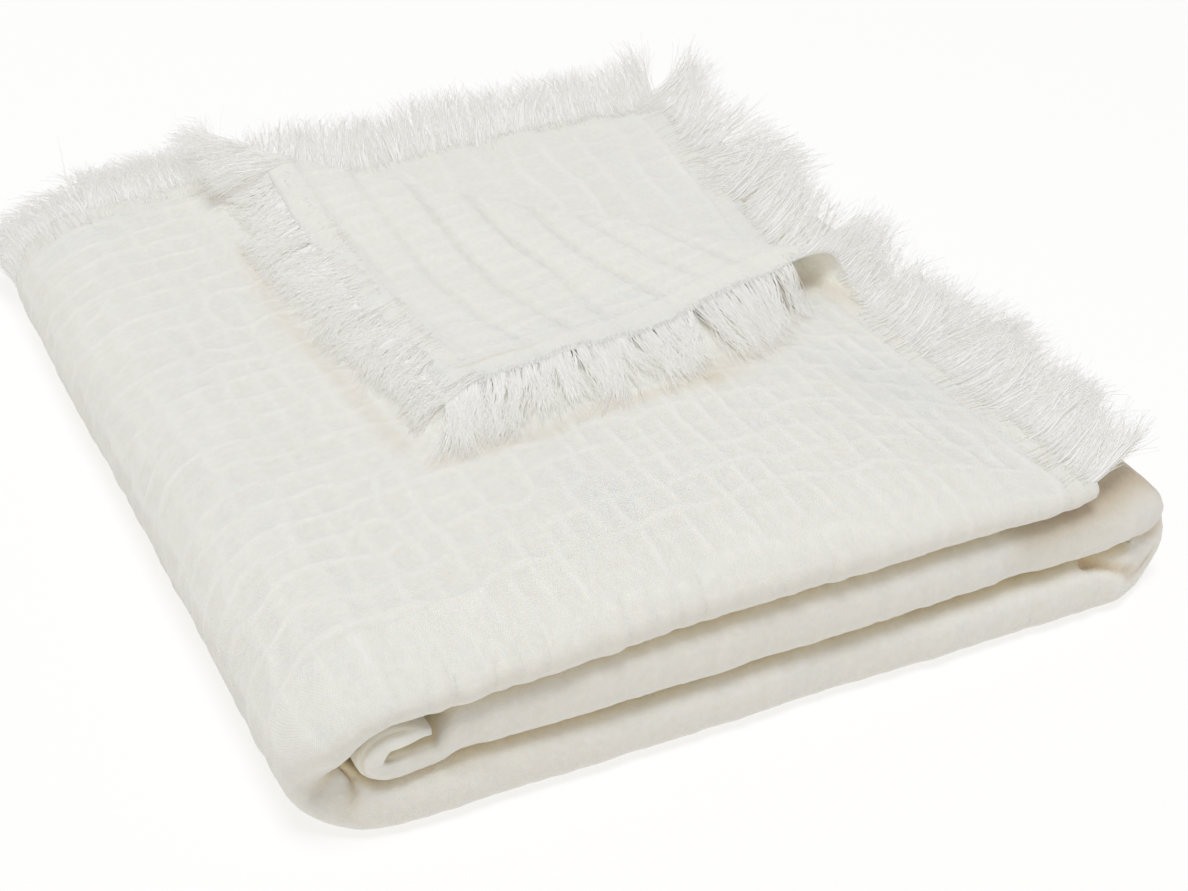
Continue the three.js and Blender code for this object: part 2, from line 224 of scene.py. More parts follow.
def foldedPlace(s, t):
    # the middle of the sheet's thickness once folded, for flat places s along the strip and t across it
    lineX, lineZ, nx, nz, loft, noseAt = centreLine(s)
    depth = fold["depth"]
    angle = pi * np.clip((t - plyLength) / fold["noseFlat"], 0, 1)
    nose = np.where(t < noseMiddle, noseAt, fold["noseShort"])
    nose = np.minimum(nose, loft ** 2 / fold["noseTightest"])
    toEdge = np.maximum(np.maximum(plyLength - t, t - lowerPly), 0) / plyLength
    topFront = (s < runs["leftBend"][0] + fold["boxyFrom"]) & (t < noseMiddle)
    power = np.where(topFront, 1, fold["boxy"])  # the other folds are fuller than round
    upright = np.sign(np.cos(angle)) * np.abs(np.cos(angle)) ** power
    y = mix(half + nose * (1 - np.abs(np.sin(angle)) ** power), depth, toEdge)
    for bend, (share, drawn, width) in fold["drawnIn"].items():
        y = y + drawn * bell(s - mix(*runs[bend], share), width) * np.sin(angle)
    tucked = ease(runs["middle"][1] - fold["tailReach"], runs["middle"][1], s)
    y = y + fold["tailBack"] * tucked * (1 - ease(0, fold["tailFade"], toEdge * plyLength))
    x = lineX + loft * upright * nx + fold["tailAside"] * tucked
    z = lineZ + loft * upright * nz

    top = s < runs["top"][1]
    upper, lower = top & (t <= noseMiddle), top & (t > noseMiddle)
    toEnd = ease(fold["strayFrom"], 1, 1 - s / runs["top"][1])
    stray = fold["frontStray"] * toEnd * bell(y, fold["strayWidth"])
    x = np.where(lower, x + fold["cornerStray"] * toEnd * ease(fold["cornerFrom"], depth, y), x)
    turnedX, turnedY, lift = turnCorner(x, y)
    z = np.where(upper, z + lift + (topLoftAt(turnedX) - loft) * (1 + np.cos(angle)), z)
    x = np.where(upper, turnedX, x) + np.where(top, stray, 0)
    y = np.where(upper, turnedY, y)

    share = x / fold["width"]
    low = np.clip(1 - z / topLow, 0, 1) * np.clip(1 - y / fold["footDepth"], 0, 1)
    y = y + fold["backSkew"] * (share - 0.5) * ease(fold["skewFrom"], depth, y)
    y = y - fold["footForward"] * share * low
    return np.stack([x, y, pressed(x, y, z)], axis=-1)


# hem and edges
hem = dict(
    width=14,  # plain band inside the fringe
    edgeShare=0.3, edgeFade=9,  # thickness left at the raw edge, and where it is whole
    puckerShare=0.3, puckerFade=(-3, 5),  # puckers left on the band, and where they come back
    groove=0.2, grooveWidth=1.2,  # drawn down along the stitches
    wave=1.1, waveLengths=(11, 11, 10),  # how far the end, outer and inner edges waver in their plane
    flutter=0.9, flutterLength=9, lowFlutter=0.3,  # how far they rise and fall, less low down
    reach=16, seed=11,
)
frontWaver = dict(
    width=0.42, above=20,  # share of a front fold, height under which nothing rises
    waves=[(0.3, 2.6, 17), (0.6, 17, 18), (0.5, 15, 19)],  # crinkle, sway and rise: size, length, seed
)


def halfThickness(edge):
    return half * mix(hem["edgeShare"], 1, ease(0, hem["edgeFade"], edge))


def sheetPlace(s, t):
    # the folded place with the small wavers of a real edge and of the front folds
    seed, slowS, slowT = hem["seed"], s / hem["flutterLength"], t / hem["flutterLength"]
    gaps = (s, t, sheetWidth - t)
    nearEnd, nearOuter, nearInner = [np.exp(-np.maximum(gap, 0) / hem["reach"]) for gap in gaps]
    endLength, outerLength, innerLength = hem["waveLengths"]
    waveS = wander(t / endLength, seed) * nearEnd * ease(0, 1, s + 1)
    waveT = wander(s / outerLength, seed + 1) * nearOuter - wander(s / innerLength, seed + 2) * nearInner
    place = foldedPlace(s + hem["wave"] * waveS, t + hem["wave"] * waveT)
    flutter = wander(slowT, seed + 3) * nearEnd + wander(slowS, seed + 4) * nearOuter
    flutter += wander(slowS, seed + 5) * nearInner
    up = hem["flutter"] * flutter * np.where(s < runs["top"][1], 1, hem["lowFlutter"])
    front = bell((t - noseMiddle) / fold["noseFlat"], frontWaver["width"])
    crinkle, sway, rise = [size * wander(s / length, own) for size, length, own in frontWaver["waves"]]
    place[..., 1] += front * (crinkle + sway)
    place[..., 2] += np.where(place[..., 2] > frontWaver["above"], up + front * rise, 0)
    return place


def sheetFrame(s, t):
    # place, way along the strip, way across it, and the outer side
    step = 0.05
    alongS = sheetPlace(s + step, t) - sheetPlace(s - step, t)
    alongT = sheetPlace(s, t + step) - sheetPlace(s, t - step)
    return sheetPlace(s, t), unit(alongS), unit(alongT), unit(np.cross(alongS, alongT))


# puckers of the woven layers: thin lines where they are woven together stand up on the outer face
puckers = dict(
    ridge=0.92, left=0.65, right=0.95, run=(240, 110),  # lines are weaker to the left
    pad=1.0, padSink=0.6, padLean=1.3,  # each cell's own dip and tilt
    drift=0.8,  # slow unevenness
    floorFade=(1, 8),  # heights from smooth on the floor to whole
)
# lines met going along the strip and across it: between them, between their changes, half width
alongLines, acrossLines = (9.3, 13.6, 1.65), (13.6, 9.3, 1.65)
# the two sets of lines in each lattice with their seeds, and the seed of its cells
lattices = dict(
    outer=((*alongLines, 31), (*acrossLines, 41), 51),
    flap=((19, 40, 2, 71), (*alongLines, 81), 83),
    lower=((15.5, 30, 1.8, 91), (*acrossLines, 101), 95),
)
# how uneven the lines are: shares of a cell over lengths, then strength, its spread and the least
lineLook = dict(
    sway=(0.2, 38), crowd=(0.42, 52), slip=(0.4, 33), stray=0.17,
    strength=(0.68, 0.42, 0.3), strengthRate=0.9, strengthShift=0.4,
)
# what changes on the front folds, from the upper ply's end and to the lower ply's start
fronts = dict(
    start=(3, -20), fade=14, end=(10, -4),  # the start moves up round the left bend
    ridgeShare=0.6, acrossLoss=0.8, padLoss=0.6,
    scallop=1.4, brimFade=15, brimLeft=0.35, brimRun=(-20, 25),  # cells puff out along the brim
    puff=0.8, puffSpread=0.5, puffLength=40, puffSeed=53, puffMean=0.64,
)
# the inner face: troughs on the turned-over corner, low bands on the ply that it bares
innerLook = dict(flapTrough=1.7, flapCross=0.5, lowerRidge=0.7, lowerCross=0.6, paler=0.4)
# long waves: share, length, how far their crests twist, over what length, seed
drifts = dict(
    outerAlong=(0.6, 23, 0.6, 41, 61), outerAcross=(0.4, 27, 0.7, 37, 63),
    inner=(1, 21, 0.5, 33, 98),
)
tableRows, tableColumns = 61, 67  # random numbers for lines and cells, used over and over


def lineNoise(number, place, seed):
    # smooth and different for each numbered line, -1 to 1
    table = np.random.default_rng(seed).uniform(-1, 1, (tableRows, tableColumns))
    step = np.floor(place)
    row, column = number.astype(int) % tableRows, step.astype(int)
    here, there = table[row, column % tableColumns], table[row, (column + 1) % tableColumns]
    return mix(here, there, ease(0, 1, place - step))


def swerve(name, place, seed):
    share, length = lineLook[name]
    return share * wander(place / length, seed)


def wovenLines(across, along, every, other, width, seed):
    # how much of the nearest uneven line is felt, the cell beside it and the share across that
    place = across / every + swerve("sway", along, seed) + swerve("crowd", across, seed + 1)
    rows = along / other + swerve("slip", across, seed + 2)
    number = np.round(place)
    place = place + lineLook["stray"] * lineNoise(number, rows, seed + 3)
    middle, spread, least = lineLook["strength"]
    changes = lineNoise(number, lineLook["strengthRate"] * rows + lineLook["strengthShift"], seed + 4)
    strength = np.clip(middle + spread * changes, least, 1)
    cell = np.floor(place)
    return strength * bell((place - number) * every, width), cell, place - cell


def puffs(alongCell, alongShare, acrossCell, acrossShare, seed):
    # each cell dips by its own depth, and its middle leans its own way
    table = np.random.default_rng(seed).uniform(0, 1, (tableRows, tableColumns, 3))
    own = table[alongCell.astype(int) % tableRows, acrossCell.astype(int) % tableColumns]
    dome = np.sin(pi * np.clip(alongShare, 0, 1)) * np.sin(pi * np.clip(acrossShare, 0, 1))
    lean = (own[..., 1] - 0.5) * (2 * alongShare - 1) + (own[..., 2] - 0.5) * (2 * acrossShare - 1)
    return dome * (own[..., 0] - puckers["padSink"] + puckers["padLean"] * lean)


def lattice(along, across, name):
    # two sets of lines, the cells between them, and the first set's own cells
    first, second, seed = lattices[name]
    line, *cells = wovenLines(along, across, *first)
    cross, *crossCells = wovenLines(across, along, *second)
    return line, cross, puffs(*cells, *crossCells, seed), cells


def drifting(along, across, name):
    share, length, twist, twistLength, seed = drifts[name]
    return share * wander(along / length + twist * wander(across / twistLength, seed), seed + 1)


def outerRelief(s, t):
    # height, and how far the layers are pinched together there
    look = fronts
    alongLine, acrossLine, pads, (cell, share) = lattice(s, t, "outer")
    start = mix(*beyond(plyLength, look["start"]), ease(*runs["leftBend"], s))
    front = ease(0, look["fade"], t - start) * ease(*beyond(lowerPly, look["end"]), t)
    lively = mix(puckers["left"], puckers["right"], ease(*puckers["run"], s))
    alongLine = alongLine * lively * mix(1, look["ridgeShare"], front)
    lines = np.maximum(alongLine, acrossLine * (1 - look["acrossLoss"] * front))
    relief = puckers["pad"] * pads * (1 - look["padLoss"] * front) + puckers["ridge"] * lines
    slow = drifting(s, t, "outerAlong") + drifting(t, s, "outerAcross")
    brim = ease(plyLength, plyLength + look["brimFade"], t) * ease(lowerPly + look["end"][1], noseMiddle, t)
    brim *= mix(1, look["brimLeft"], ease(*beyond(runs["leftBend"][0], look["brimRun"]), s))
    puff = look["puff"] + look["puffSpread"] * lineNoise(cell, t / look["puffLength"], look["puffSeed"])
    puff = puff * (np.sin(pi * share) - look["puffMean"])
    return relief + puckers["drift"] * slow + look["scallop"] * brim * puff, lines


def innerRelief(s, t):
    look, ridge, pad = innerLook, puckers["ridge"], puckers["pad"]
    trough, cross, pads, _ = lattice(t, s, "flap")
    cross = look["flapCross"] * cross
    flap = ridge * cross - look["flapTrough"] * trough + pad * pads
    band, weak, pads, _ = lattice(s, t, "lower")
    weak = look["lowerCross"] * weak
    lower = look["lowerRidge"] * band + ridge * weak + pad * pads
    slow = puckers["drift"] * drifting(s, t, "inner")
    upper = t < noseMiddle
    return np.where(upper, flap, lower) + slow, np.where(upper, cross - trough, np.maximum(band, weak))


# creases placed in the front folds, most at the bends: flat places, depth at the ends, half width
creases = [
    ([(662, 338), (650, 339), (643, 338), (637, 331), (639, 323), (641, 316)], (2.5, 1.6), 2.5),
    ([(600, 343), (604, 341), (612, 336), (621, 330), (629, 323)], (3.2, 2.3), 2.7),
    ([(600, 341), (602, 335), (605, 328)], (1, 0.8), 3),
    ([(303, 343), (304.5, 333), (308, 325)], (3, 0.4), 2.4),
    ([(304, 344), (312, 342), (316, 335), (319, 327)], (3.4, 0.8), 2.4),
    ([(927, 316), (926, 326), (928, 336)], (0.9, 0.4), 2.4),
    ([(929, 321), (941, 322), (952, 320), (966, 321)], (0.3, 1.3), 1.9),
    ([(934, 339), (946, 338), (955, 340), (964, 339)], (0.3, 1.1), 1.9),
    ([(372, 322), (366, 332), (352, 340)], (0.3, 1), 4),
    ([(470, 320), (478, 332), (492, 342)], (0.3, 0.8), 5),
    ([(720, 322), (716, 331), (708, 340)], (0.3, 0.7), 4),
]


def lineDepth(rows, s, t):
    total = 0
    for line, depths, width in rows:
        nearest, depth = np.full(np.shape(s), np.inf), 0
        points = np.array(line, float)
        for i, (a, b) in enumerate(zip(points, points[1:])):
            way = b - a
            share = np.clip(((s - a[0]) * way[0] + (t - a[1]) * way[1]) / (way @ way), 0, 1)
            gap = np.hypot(s - a[0] - share * way[0], t - a[1] - share * way[1])
            depth = np.where(gap < nearest, mix(*depths, (i + share) / (len(points) - 1)), depth)
            nearest = np.minimum(nearest, gap)
        total = total + depth * bell(nearest, width)
    return total


def surface(s, t, side):
    # a face of the sheet, 1 the outer one and -1 the inner one, and how pinched it is
    place, _, _, normal = sheetFrame(s, t)
    edge = np.minimum(np.minimum(s, stripLength - s), np.minimum(t, sheetWidth - t))
    relief, pinch = outerRelief(s, t) if side > 0 else innerRelief(s, t)
    plain = mix(hem["puckerShare"], 1, ease(*beyond(hem["width"], hem["puckerFade"]), edge))
    relief = relief * plain - hem["groove"] * bell(edge - hem["width"], hem["grooveWidth"])
    lively = ease(*puckers["floorFade"], place[..., 2])
    raised = side * (halfThickness(edge) + relief * lively) - lineDepth(creases, s, t) * lively
    points = place + normal * raised[..., None]
    points[..., 2] = np.maximum(points[..., 2], 0)
    return points, pinch * plain + (0 if side > 0 else innerLook["paler"])


# painted light and shade: the cloth's colour is multiplied by these where light and shade between the
# layers are painted into it
paintedTones = dict(
    # fold, hollow, shade and crease are painted shade, warm in the folds; cave is painted light
    fold=(1.13, 1.025, 0.805), hollow=(0.84, 0.775, 0.67), shade=(0.62, 0.52, 0.4),
    crease=(0.88, 0.72, 0.5), cave=(1.2, 1.19, 1.17),
)
# where shade is painted along lines, written like the creases, with the painted share as depth
paintedShadeLines = dict(
    # painted shadow under the turned corner's fringe and under the top layer's right end
    hollow=[  # under the turned corner's fringe and the top layer's right end
        ([(3, 184), (14, 174), (27, 170), (39, 186), (59, 211), (77, 228), (95, 237)], (0.45, 0.4), 9),
        ([(95, 238), (142, 241), (169, 247), (208, 248)], (0.4, 0.3), 4),
        ([(214, 232), (216, 200), (219, 160), (221, 114), (217, 70)], (0.3, 0.3), 4),
        ([(704, 318), (678, 315), (652, 303)], (0.7, 0.9), 10),
    ],
    # painted deeper shade close under the top layer's right end
    shade=[  # close under that end
        ([(704, 321), (690, 320), (672, 317), (656, 313), (648, 311)], (0.5, 0.95), 8),
    ],
    # painted shade at the bottom of the main creases
    crease=[  # at the bottom of the main creases
        ([(600, 344), (612, 337), (621, 331), (630, 324)], (1, 0.4), 2.1),
        ([(655, 338), (643, 338), (637, 331), (639, 321)], (0.9, 0.35), 2.1),
        ([(304, 344), (312, 342), (316, 335), (319, 327)], (1, 0.1), 2.2),
        ([(303, 344), (304.5, 333), (308, 325)], (1, 0.05), 2),
        ([(934, 321), (941, 322), (952, 320), (966, 321)], (0.1, 0.6), 1.6),
        ([(936, 339), (946, 338), (955, 340), (964, 339)], (0.1, 0.5), 1.6),
    ],
)
# where light and shade are painted over wider places
paintedToneFades = dict(
    # painted warm shade in the crevices of the front folds
    under=7, over=12, overRun=40,  # the lower and upper halves of the front folds
    # painted light inside the roll under the turned corner
    caveRun=55, caveMiddle=14, caveWidth=34, caveFrom=(7, 17),  # inside the roll
    # painted light on the tucked tail
    tail=0.8,
    # painted shade along the stitches on the inner face
    seam=0.5, seamInset=10, seamWidth=0.9, seamFrom=(8, 12), seamTo=(55, 30),  # on the hem
)


# painted light and shade for each place of the cloth, as multipliers of its colour
def paintedLightAndShade(s, t, side):
    paintedTone, fades = np.ones((len(s), 3)), paintedToneFades
    if side < 0:
        # painted shade along the stitches
        seam = fades["seam"] * bell(s - fades["seamInset"], fades["seamWidth"])
        seam *= ease(*fades["seamFrom"], t) * ease(*fades["seamTo"], t)
        return mix(paintedTone, np.array(paintedTones["hollow"]), seam[:, None])
    reach = flatReach(s, t)
    middleStart = runs["middle"][0]
    # on the tail the painted shade under the front folds gives way to painted light
    tail = ease(*runs["tailTurn"], s)
    # painted warm shade in the crevices under and over the front folds
    under = ease(noseMiddle + fades["under"], lowerPly, t) * (1 - tail)
    over = ease(plyLength + fades["over"], plyLength, t)
    over = over * ease(middleStart, middleStart + fades["overRun"], s)
    # painted light inside the roll
    cave = bell(s, fades["caveRun"]) * bell(reach - fades["caveMiddle"], fades["caveWidth"])
    cave *= ease(*fades["caveFrom"], reach) * (t < plyLength)
    shares = dict(fold=np.maximum(under, over))
    shares.update({name: lineDepth(rows, s, t) for name, rows in paintedShadeLines.items()})
    shares["cave"] = np.maximum(cave, fades["tail"] * tail)
    for name, share in shares.items():
        paintedTone = mix(paintedTone, np.array(paintedTones[name]), np.minimum(share, 1)[:, None])
    return paintedTone


# the cloth's mesh: fine where it shows, a few large faces where the folds hide it
cloth = dict(
    name="muslin_cloth",
    plyCells=14, noseCells=8,  # coarse cells across a ply and round its front fold
    upperStep=1.7, lowerStep=1.9, noseStep=1.5,
    probes=(0.02, 0.5, 0.98),  # where a coarse cell is tested
    # how far fine faces go past the corner's fold line, the flap's edges and the ends of the bends
    topPast=45, underPast=-6, underEnd=30, underSide=16, flapPast=-4, baredPast=-22,
    rightMore=(0, 24), leftCreased=(20, 5), rightCreased=(-25, 15), tailCreased=45,
)


def widened(run, gaps):
    return [end + gap for end, gap in zip(runs[run], gaps)]


def showsOutside(s, t):
    # the top except under the turned corner, the left and right bends, and all fronts
    reach = flatReach(s, t)
    inFlap = 2 * reach - pi * fold["rollRight"]
    under = (s + inFlap * foldOut[0] > cloth["underEnd"]) & (t + inFlap * foldOut[1] > cloth["underSide"])
    top = (s < runs["top"][1]) & (reach < cloth["topPast"]) & ~(under & (reach < cloth["underPast"]))
    right = within(s, *widened("rightBend", cloth["rightMore"]))
    return within(t, plyLength, lowerPly) | (t < plyLength) & (top | within(s, *runs["leftBend"]) | right)


def showsInside(s, t):
    # the turned-over corner, what it bares of the lower ply, and creased fronts
    flap = (t < plyLength) & (flatReach(s, t) > cloth["flapPast"])
    bared = (t > lowerPly) & (flatReach(s, sheetWidth - t) > cloth["baredPast"])
    left = within(s, *widened("leftBend", cloth["leftCreased"]))
    right = within(s, *widened("rightBend", cloth["rightCreased"]))
    tail = s > runs["middle"][1] - cloth["tailCreased"]
    return (s < runs["top"][1]) & (flap | bared) | (left | right | tail) & within(t, plyLength, lowerPly)


def splitCells(rows):
    # fine places, and the fine index where each coarse cell starts
    places, starts = [0.0], [0]
    for length, cells, step in rows:
        fine = max(1, round(length / cells / step))
        begin = places[-1]
        for i in range(cells):
            places += [begin + length * (i + (j + 1) / fine) / cells for j in range(fine)]
            starts.append(len(places) - 1)
    return np.array(places), starts


def addValues(mesh, name, values):
    # a number or a vector for each vertex, which the materials read
    kind, field = ("FLOAT", "value") if values.ndim == 1 else ("FLOAT_VECTOR", "vector")
    layer = mesh.attributes.new(name, kind, "POINT")
    layer.data.foreach_set(field, values.astype(np.float32).ravel())


def linked(data):
    holder = bpy.data.objects.new(data.name, data)
    bpy.context.scene.collection.objects.link(holder)
    return holder


# the fold's own zero is at the left bend and the front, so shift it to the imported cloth's box
boxLow = np.array(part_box("cloth")[0]) / mm
frontS = np.linspace(*runs["bottom"], 200)
frontLow = foldedPlace(frontS, np.full_like(frontS, noseMiddle))[:, 1].min() - half
frameShift = np.array([boxLow[0], boxLow[1] - frontLow, 0])


def softPiece(name, points, faces, material):
    mesh = bpy.data.meshes.new(name)
    mesh.from_pydata(((points + frameShift) * mm).tolist(), [], faces)
    mesh.polygons.foreach_set("use_smooth", np.ones(len(mesh.polygons), bool))
    mesh.materials.append(material)
    return linked(mesh)


def makeCloth(material):
    placesS, startS = splitCells([row[1:] for row in runTable])
    placesT, startT = splitCells([
        (plyLength, cloth["plyCells"], cloth["upperStep"]),
        (fold["noseFlat"], cloth["noseCells"], cloth["noseStep"]),
        (plyLength, cloth["plyCells"], cloth["lowerStep"]),
    ])
    countS, countT = len(startS) - 1, len(startT) - 1

    def fineCells(test):
        fine = np.zeros((countS, countT), bool)
        low, middle, high = cloth["probes"]
        for shareS, shareT in ((low, low), (high, low), (low, high), (high, high), (middle, middle)):
            s = mix(placesS[startS[:-1]], placesS[startS[1:]], shareS)
            t = mix(placesT[startT[:-1]], placesT[startT[1:]], shareT)
            fine |= test(s[:, None], t[None, :])
        return fine

    masks = [fineCells(showsOutside), fineCells(showsInside)]
    either = masks[0] | masks[1]
    numbers = [np.full((len(placesS), len(placesT)), -1) for _ in masks]
    used = [[], []]
    faces = []

    def corner(face, i, j):
        if numbers[face][i, j] < 0:
            numbers[face][i, j] = len(used[face])
            used[face].append((i, j))
        return (face, numbers[face][i, j])

    def sideIsFine(face, i, j, stepS, stepT):
        if masks[face][i, j]:
            return True
        if 0 <= i + stepS < countS and 0 <= j + stepT < countT:
            return masks[face][i + stepS, j + stepT]
        return either[i, j]

    def sidePlaces(face, i, j, side):
        # fine index pairs along one side of a coarse cell, without its last corner
        a, b, c, d = startS[i], startS[i + 1], startT[j], startT[j + 1]
        whole = ([(k, c) for k in range(a, b)], [(b, k) for k in range(c, d)],
                 [(k, d) for k in range(b, a, -1)], [(a, k) for k in range(d, c, -1)])[side]
        beside = ((0, -1), (1, 0), (0, 1), (-1, 0))[side]
        return whole if sideIsFine(face, i, j, *beside) else whole[:1]

    def fineRings(i, j):
        return [[(a, b), (a + 1, b), (a + 1, b + 1), (a, b + 1)]
                for a in range(startS[i], startS[i + 1]) for b in range(startT[j], startT[j + 1])]

    for face in (0, 1):
        turn = 1 - 2 * face  # the inner face is wound the other way
        for i in range(countS):
            for j in range(countT):
                outline = [spot for side in range(4) for spot in sidePlaces(face, i, j, side)]
                for ring in fineRings(i, j) if masks[face][i, j] else [outline]:
                    faces.append([corner(face, *spot) for spot in ring][::turn])
    borders = ([(i, 0, 0) for i in range(countS)] + [(countS - 1, j, 1) for j in range(countT)]
               + [(i, countT - 1, 2) for i in range(countS)] + [(0, j, 3) for j in range(countT)])
    for i, j, side in borders:
        line = sidePlaces(0, i, j, side) + sidePlaces(0, i, j, (side + 1) % 4)[:1]
        for a, b in zip(line, line[1:]):
            faces.append([corner(0, *a), corner(1, *a), corner(1, *b), corner(0, *b)])

    made = []
    for face, side in ((0, 1), (1, -1)):
        index = np.array(used[face])
        s, t = placesS[index[:, 0]], placesT[index[:, 1]]
        # painted light and shade, kept as the change from 1
        changes = paintedLightAndShade(s, t, side) - 1  # added to 1, so a piece without it keeps its colour
        made.append((*surface(s, t, side), changes, np.stack([s, t], axis=-1)))
    points, pinches, changes, flats = [np.concatenate(parts) for parts in zip(*made)]
    shift = len(used[0])
    faces = [[number + face * shift for face, number in ring] for ring in faces]
    piece = softPiece(cloth["name"], points, faces, material)
    mesh = piece.data
    flatMap = mesh.uv_layers.new(name="flat")  # flat place in metres, for the weave
    loops = np.zeros(len(mesh.loops), np.int32)
    mesh.loops.foreach_get("vertex_index", loops)
    flatMap.data.foreach_set("uv", (flats[loops] * mm).astype(np.float32).ravel())
    addValues(mesh, "pinch", pinches)
    addValues(mesh, "paintedTone", changes)
    return piece


# fringe: loose yarns in locks along the sheet's edges
fringe = dict(
    length=44, lengthSpread=0.08, longest=1.15, shortest=0.4, endRun=0.75,
    yarnRadius=0.16, flyRadius=0.09, coreRadius=0.6, radiusSpread=(0.8, 1.2),
    thinTip=0.7, thinPower=3, coreThins=1.5, thinRoot=0.55, thinRun=0.25,
    flyShare=0.17, coreShare=0.17,  # stray yarns, and thick soft ones under the rest
    leanSpread=0.06, flyLean=0.16, flyClump=0.2,
    coreLength=0.82, coreCalm=0.5, coreDepth=0.6,
    lockPlace=(0.1, 0.9), lockLean=0.5, lockSpread=0.07, lockRoot=(0.3, 1.3), lockLift=0.3,
    bend=0.28, leanPower=1.15, bendPower=2.2, risePower=1.2, clumpRun=(0.05, 0.8),
    frizzRates=(3, 11), frizzLeast=0.3, frizzRun=0.7, frizzUp=0.8,
    rootLeast=1.5, rootUnder=0.4, rootOver=0.5,
    slope=0.3, levelSlope=0.05, combed=0.85,
    hang=0.5, hangFrom=(5, 20), restGap=0.7, restLeast=0.1, restRun=0.75, restLow=0.2,
    archPower=0.7, archHeight=0.3,
    lowest=0.8, highest=84,
    tint=0.5, tintSpread=0.2,
    sides=3, seed=300,
)
backRoll = backFold - pi * fold["rollLeft"] / foldOut[0]
rightRoll = rightFold - pi * fold["rollRight"] / foldOut[1]
flapFrontEnd = rightRoll - 2

# a stretch of edge that the layers hide
plainStretch = dict(
    yarns=3, stations=6,  # yarns a millimetre, points along one
    length=1, short=(0, 0),  # share of the whole length, and what the two ends lose of it
    lean=(0, 0), sway=0.06,  # sideways slope along the stretch, and how far locks differ in it
    every=6, overlap=0.5,  # between locks, and how far they overlap
    rise=0, fluff=5, sink=0.4,  # height of the tips, how far they spread, how far yarns droop
    clump=0.15, curl=1.2, frizz=1.7,  # how far yarns gather in locks, a lock swerves, and a yarn
    root=3,  # how far inside the edge yarns start
    aim=None, rests=False,  # a way they are combed, and whether they lie on the top layer
)
shownStretch = dict(plainStretch, yarns=8, stations=9, root=6, sway=0.15, every=9, frizz=1.3)


def hidden(name, edge, run):
    return dict(plainStretch, name=name, edge=edge, span=runs[run])


def shown(name, edge, span, **changes):
    return dict(shownStretch, name=name, edge=edge, span=span, **changes)


fringeTable = [
    shown("flap_front", "end", (0, flapFrontEnd), rests=True, yarns=9, length=0.78, short=(0, 0.22),
          lean=(-0.45, -0.6, -0.55, -0.3), every=8, overlap=0.12, fluff=4, clump=0.55, curl=6, frizz=2.2,
          root=3),
    shown("roll_right", "end", (flapFrontEnd, rightFold + 1), yarns=9.5, length=0.6, aim=(0.8, 0.55, 0.15),
          fluff=7, sink=0.05),
    shown("end_upper", "end", (rightFold, plyLength + 9), yarns=10, length=1.03, short=(0, 0.18),
          lean=(-0.8, -0.5, -0.45, -0.6), every=11, rise=6, fluff=8, sink=0.05, clump=0.2, curl=3, root=15),
    shown("end_lower", "end", (lowerPly, sheetWidth), length=1.05, short=(0.28, 0), lean=(0.5, 0.45, 0.5),
          sway=0.18, every=11, rise=8, fluff=12, sink=0, clump=0.2, curl=2.5, root=13),
    shown("flap_side", "outer", (0, backRoll), rests=True, yarns=9, length=0.5, lean=(-0.5, 0.25),
          sway=0.35, fluff=4, clump=0.2, curl=5, frizz=2.8, root=14),
    shown("roll_back", "outer", (backRoll - 6, backFold + 1), yarns=15, length=0.7, sway=0.25, rise=3,
          fluff=12, sink=0.1, curl=3, frizz=2.4, root=15),
    shown("top_outer", "outer", (backFold, runs["top"][1]), yarns=15, length=0.92, lean=(-0.2, -0.2),
          sway=0.07, rise=3, fluff=7, sink=0.2, clump=0.08, frizz=1, root=14),
    shown("left_outer", "outer", runs["leftBend"], yarns=13, length=0.92, sway=0.04, rise=2, fluff=6,
          sink=0.3, clump=0.08, curl=0.6, frizz=0.9, root=12),
    hidden("bottom_outer", "outer", "bottom"),
    hidden("right_outer", "outer", "rightBend"),
    hidden("middle_outer", "outer", "middle"),
    shown("top_inner", "inner", (0, runs["top"][1]), yarns=9.5, lean=(-0.5, -0.25), rise=8, fluff=9,
          sink=0.1, root=10),
    hidden("left_inner", "inner", "leftBend"),
    hidden("bottom_inner", "inner", "bottom"),
    hidden("middle_inner", "inner", "middle"),
]


def tubes(name, paths, radii, sides, material):
    # one joined mesh of closed tubes along many paths, from arrays
    count, stations = paths.shape[:2]
    askew = unit(np.array([0.31, 0.52, 0.8]))  # a way that no path takes
    way = unit(np.gradient(paths, axis=1))
    first = unit(np.cross(way, askew))
    second = np.cross(way, first)
    angles = 2 * pi * np.arange(sides) / sides
    ring = np.cos(angles)[:, None] * first[:, :, None, :] + np.sin(angles)[:, None] * second[:, :, None, :]
    points = paths[:, :, None, :] + radii[:, :, None, None] * ring
    index = np.arange(count * stations * sides).reshape(count, stations, sides)
    nextSide = np.roll(index, -1, axis=2)
    quads = np.stack([index[:, :-1], nextSide[:, :-1], nextSide[:, 1:], index[:, 1:]], axis=-1)
    caps = np.concatenate([index[:, 0, ::-1], index[:, -1]])
    return softPiece(name, points.reshape(-1, 3), quads.reshape(-1, 4).tolist() + caps.tolist(), material)


def edgeFrame(edge, u, inset):
    # place, way out, way along and outer side at distances u along an edge, some way inside it
    if edge == "end":
        place, alongS, alongT, normal = sheetFrame(inset, u)
        return place, -alongS, alongT, normal
    place, alongS, alongT, normal = sheetFrame(u, inset if edge == "outer" else sheetWidth - inset)
    return place, -alongT if edge == "outer" else alongT, alongS, normal


